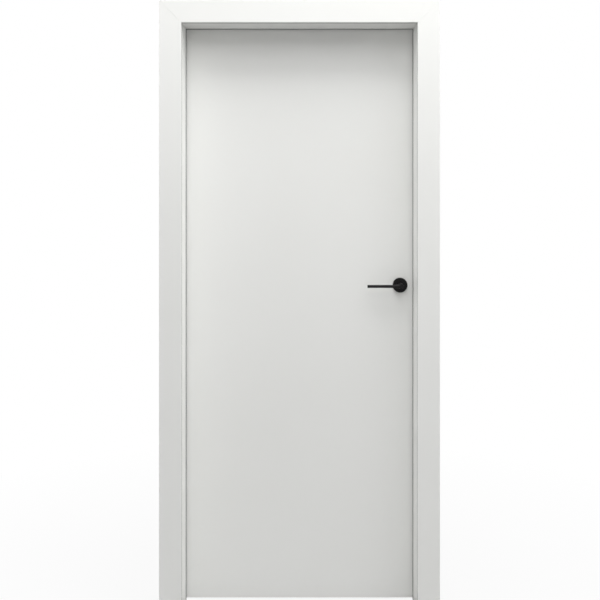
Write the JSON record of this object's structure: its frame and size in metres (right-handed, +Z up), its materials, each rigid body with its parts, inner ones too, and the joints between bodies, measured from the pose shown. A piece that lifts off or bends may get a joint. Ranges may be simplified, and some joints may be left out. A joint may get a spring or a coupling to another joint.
{
  "type": "interior door in adjustable frame",
  "caption": "Flush white interior door leaf, rebated and hung on pin hinges in an adjustable lined frame with flat architraves, with black lever handles on round roses.",
  "frame": {"origin": "on the outer, wall-side face of the hinge side lining, at finished floor level and in the middle of the wall's thickness", "axes": "+Z up; +X across the doorway from the hinge side to the lock side; +Y through the wall, from the push side in the picture to the pull side, the way the leaf opens"},
  "size_m": [0.95, 0.212, 2.087],
  "materials": {
    "white_frame_lacquer": "satin white lacquer on fibreboard",
    "white_leaf_lacquer": "satin white lacquer, very fine orange peel",
    "raw_board": "raw particle board",
    "grey_seal": "soft matt seal",
    "satin_nickel": "satin nickel plate",
    "zinc_steel": "zinc plated steel",
    "black_powder_coat": "matt black powder coat"
  },
  "bodies": {
    "frame": {"front_architrave_hinge_side": "white_frame_lacquer", "front_architrave_lock_side": "white_frame_lacquer", "front_architrave_head": "white_frame_lacquer", "lining_hinge_side": "white_frame_lacquer", "lining_lock_side": "white_frame_lacquer", "lining_head": "white_frame_lacquer", "back_architrave_hinge_side": "white_frame_lacquer", "back_architrave_lock_side": "white_frame_lacquer", "back_architrave_head": "white_frame_lacquer", "adjusting_tongue_hinge_side": "white_frame_lacquer", "adjusting_tongue_lock_side": "white_frame_lacquer", "adjusting_tongue_head": "white_frame_lacquer", "rebate_strip_hinge_side": "white_frame_lacquer", "rebate_strip_lock_side": "white_frame_lacquer", "rebate_strip_head": "white_frame_lacquer", "gasket_hinge_side": "grey_seal", "gasket_lock_side": "grey_seal", "gasket_head": "grey_seal", "strike_plate": "satin_nickel", "hinge_bottom_frame_half": "satin_nickel", "hinge_middle_frame_half": "satin_nickel", "hinge_top_frame_half": "satin_nickel"},
    "leaf": {"leaf_push_skin": "white_leaf_lacquer", "leaf_pull_skin": "white_leaf_lacquer", "leaf_hinge_stile": "white_leaf_lacquer", "leaf_lock_stile": "white_leaf_lacquer", "leaf_top_rail": "white_leaf_lacquer", "leaf_hinge_lipping": "white_leaf_lacquer", "leaf_lock_lipping": "white_leaf_lacquer", "leaf_top_lipping": "white_leaf_lacquer", "leaf_bottom_rail": "white_leaf_lacquer", "leaf_core": "raw_board", "lock_case": "zinc_steel", "lock_faceplate": "satin_nickel", "latch_bolt": "satin_nickel", "push_rose": "black_powder_coat", "pull_rose": "black_powder_coat", "hinge_bottom_leaf_half": "satin_nickel", "hinge_middle_leaf_half": "satin_nickel", "hinge_top_leaf_half": "satin_nickel"},
    "handle": {"push_lever": "black_powder_coat", "pull_lever": "black_powder_coat", "spindle": "zinc_steel", "lock_follower": "zinc_steel"}
  },
  "joints": [
    {"name": "door_swing", "type": "hinge", "parent": "frame", "child": "leaf", "pos_m": [-0.0095, 0.09, 1.023], "axis": [0, 0, 1], "range_deg": [0, 170]},
    {"name": "lever_turn", "type": "hinge", "parent": "leaf", "child": "handle", "pos_m": [0.776, 0.07, 1.11], "axis": [0, -1, 0], "range_deg": [0, 40], "stiffness_Nm_per_rad": 1.5, "springref_deg": -20.05}
  ]
}
